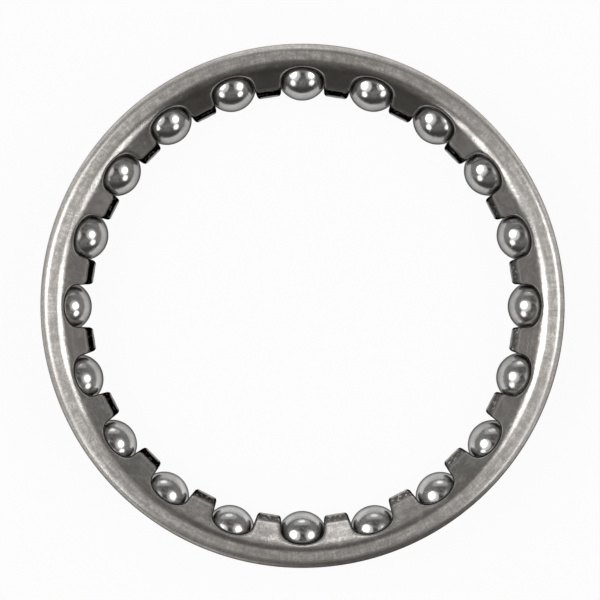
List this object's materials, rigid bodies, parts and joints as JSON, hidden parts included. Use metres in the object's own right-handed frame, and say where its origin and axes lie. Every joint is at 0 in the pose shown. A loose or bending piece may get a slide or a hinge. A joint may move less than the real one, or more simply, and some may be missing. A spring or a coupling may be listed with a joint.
{
  "type": "caged ball ring",
  "caption": "Caged ball ring of a thrust ball bearing: polished steel balls spin loose in the pockets of one pressed steel cage with a rolled rim and inward fingers.",
  "frame": {"origin": "on the ring's axis, in the plane that the balls rest on", "axes": "+Z along the ring's axis, out of the rolled rim's side; +Y towards ball_01, which is twelve o'clock in the picture"},
  "size_m": [0.0413, 0.0412, 0.0049],
  "materials": {
    "cage_steel": "pressed sheet steel, tumbled to a satin grey with fine scuffs; punched edges brighter, finger tips dark",
    "ball_steel": "ground and polished bearing steel, mirror bright"
  },
  "bodies": {
    "cage": {"cage": "cage_steel"},
    "ball_01": {"ball_01": "ball_steel"},
    "ball_02": {"ball_02": "ball_steel"},
    "ball_03": {"ball_03": "ball_steel"},
    "ball_04": {"ball_04": "ball_steel"},
    "ball_05": {"ball_05": "ball_steel"},
    "ball_06": {"ball_06": "ball_steel"},
    "ball_07": {"ball_07": "ball_steel"},
    "ball_08": {"ball_08": "ball_steel"},
    "ball_09": {"ball_09": "ball_steel"},
    "ball_10": {"ball_10": "ball_steel"},
    "ball_11": {"ball_11": "ball_steel"},
    "ball_12": {"ball_12": "ball_steel"},
    "ball_13": {"ball_13": "ball_steel"},
    "ball_14": {"ball_14": "ball_steel"},
    "ball_15": {"ball_15": "ball_steel"},
    "ball_16": {"ball_16": "ball_steel"},
    "ball_17": {"ball_17": "ball_steel"},
    "ball_18": {"ball_18": "ball_steel"},
    "ball_19": {"ball_19": "ball_steel"},
    "ball_20": {"ball_20": "ball_steel"}
  },
  "joints": [
    {"name": "ball_01_spin", "type": "hinge", "parent": "cage", "child": "ball_01", "pos_m": [-0.00003, 0.01824, 0.00198], "axis": [0, 0.766, 0.6428], "continuous": true},
    {"name": "ball_02_spin", "type": "hinge", "parent": "cage", "child": "ball_02", "pos_m": [0.00563, 0.01735, 0.00198], "axis": [0.2367, 0.7286, 0.6428], "continuous": true},
    {"name": "ball_03_spin", "type": "hinge", "parent": "cage", "child": "ball_03", "pos_m": [0.01073, 0.01475, 0.00198], "axis": [0.4503, 0.6197, 0.6428], "continuous": true},
    {"name": "ball_04_spin", "type": "hinge", "parent": "cage", "child": "ball_04", "pos_m": [0.01477, 0.0107, 0.00198], "axis": [0.6197, 0.4503, 0.6428], "continuous": true},
    {"name": "ball_05_spin", "type": "hinge", "parent": "cage", "child": "ball_05", "pos_m": [0.01736, 0.00559, 0.00198], "axis": [0.7286, 0.2367, 0.6428], "continuous": true},
    {"name": "ball_06_spin", "type": "hinge", "parent": "cage", "child": "ball_06", "pos_m": [0.01824, -0.00005, 0.00198], "axis": [0.766, 0, 0.6428], "continuous": true},
    {"name": "ball_07_spin", "type": "hinge", "parent": "cage", "child": "ball_07", "pos_m": [0.01733, -0.00569, 0.00198], "axis": [0.7286, -0.2367, 0.6428], "continuous": true},
    {"name": "ball_08_spin", "type": "hinge", "parent": "cage", "child": "ball_08", "pos_m": [0.01508, -0.01103, 0.00198], "axis": [0.6197, -0.4503, 0.6428], "continuous": true},
    {"name": "ball_09_spin", "type": "hinge", "parent": "cage", "child": "ball_09", "pos_m": [0.01094, -0.01514, 0.00198], "axis": [0.4503, -0.6197, 0.6428], "continuous": true},
    {"name": "ball_10_spin", "type": "hinge", "parent": "cage", "child": "ball_10", "pos_m": [0.00573, -0.01778, 0.00198], "axis": [0.2367, -0.7286, 0.6428], "continuous": true},
    {"name": "ball_11_spin", "type": "hinge", "parent": "cage", "child": "ball_11", "pos_m": [-0.00003, -0.01824, 0.00198], "axis": [0, -0.766, 0.6428], "continuous": true},
    {"name": "ball_12_spin", "type": "hinge", "parent": "cage", "child": "ball_12", "pos_m": [-0.00578, -0.01776, 0.00198], "axis": [-0.2367, -0.7286, 0.6428], "continuous": true},
    {"name": "ball_13_spin", "type": "hinge", "parent": "cage", "child": "ball_13", "pos_m": [-0.01097, -0.01512, 0.00198], "axis": [-0.4503, -0.6197, 0.6428], "continuous": true},
    {"name": "ball_14_spin", "type": "hinge", "parent": "cage", "child": "ball_14", "pos_m": [-0.0151, -0.011, 0.00198], "axis": [-0.6197, -0.4503, 0.6428], "continuous": true},
    {"name": "ball_15_spin", "type": "hinge", "parent": "cage", "child": "ball_15", "pos_m": [-0.01775, -0.00581, 0.00198], "axis": [-0.7286, -0.2367, 0.6428], "continuous": true},
    {"name": "ball_16_spin", "type": "hinge", "parent": "cage", "child": "ball_16", "pos_m": [-0.01868, -0.00005, 0.00198], "axis": [-0.766, 0, 0.6428], "continuous": true},
    {"name": "ball_17_spin", "type": "hinge", "parent": "cage", "child": "ball_17", "pos_m": [-0.01737, 0.00558, 0.00198], "axis": [-0.7286, 0.2367, 0.6428], "continuous": true},
    {"name": "ball_18_spin", "type": "hinge", "parent": "cage", "child": "ball_18", "pos_m": [-0.01479, 0.01067, 0.00198], "axis": [-0.6197, 0.4503, 0.6428], "continuous": true},
    {"name": "ball_19_spin", "type": "hinge", "parent": "cage", "child": "ball_19", "pos_m": [-0.01076, 0.01473, 0.00198], "axis": [-0.4503, 0.6197, 0.6428], "continuous": true},
    {"name": "ball_20_spin", "type": "hinge", "parent": "cage", "child": "ball_20", "pos_m": [-0.00568, 0.01733, 0.00198], "axis": [-0.2367, 0.7286, 0.6428], "continuous": true}
  ]
}
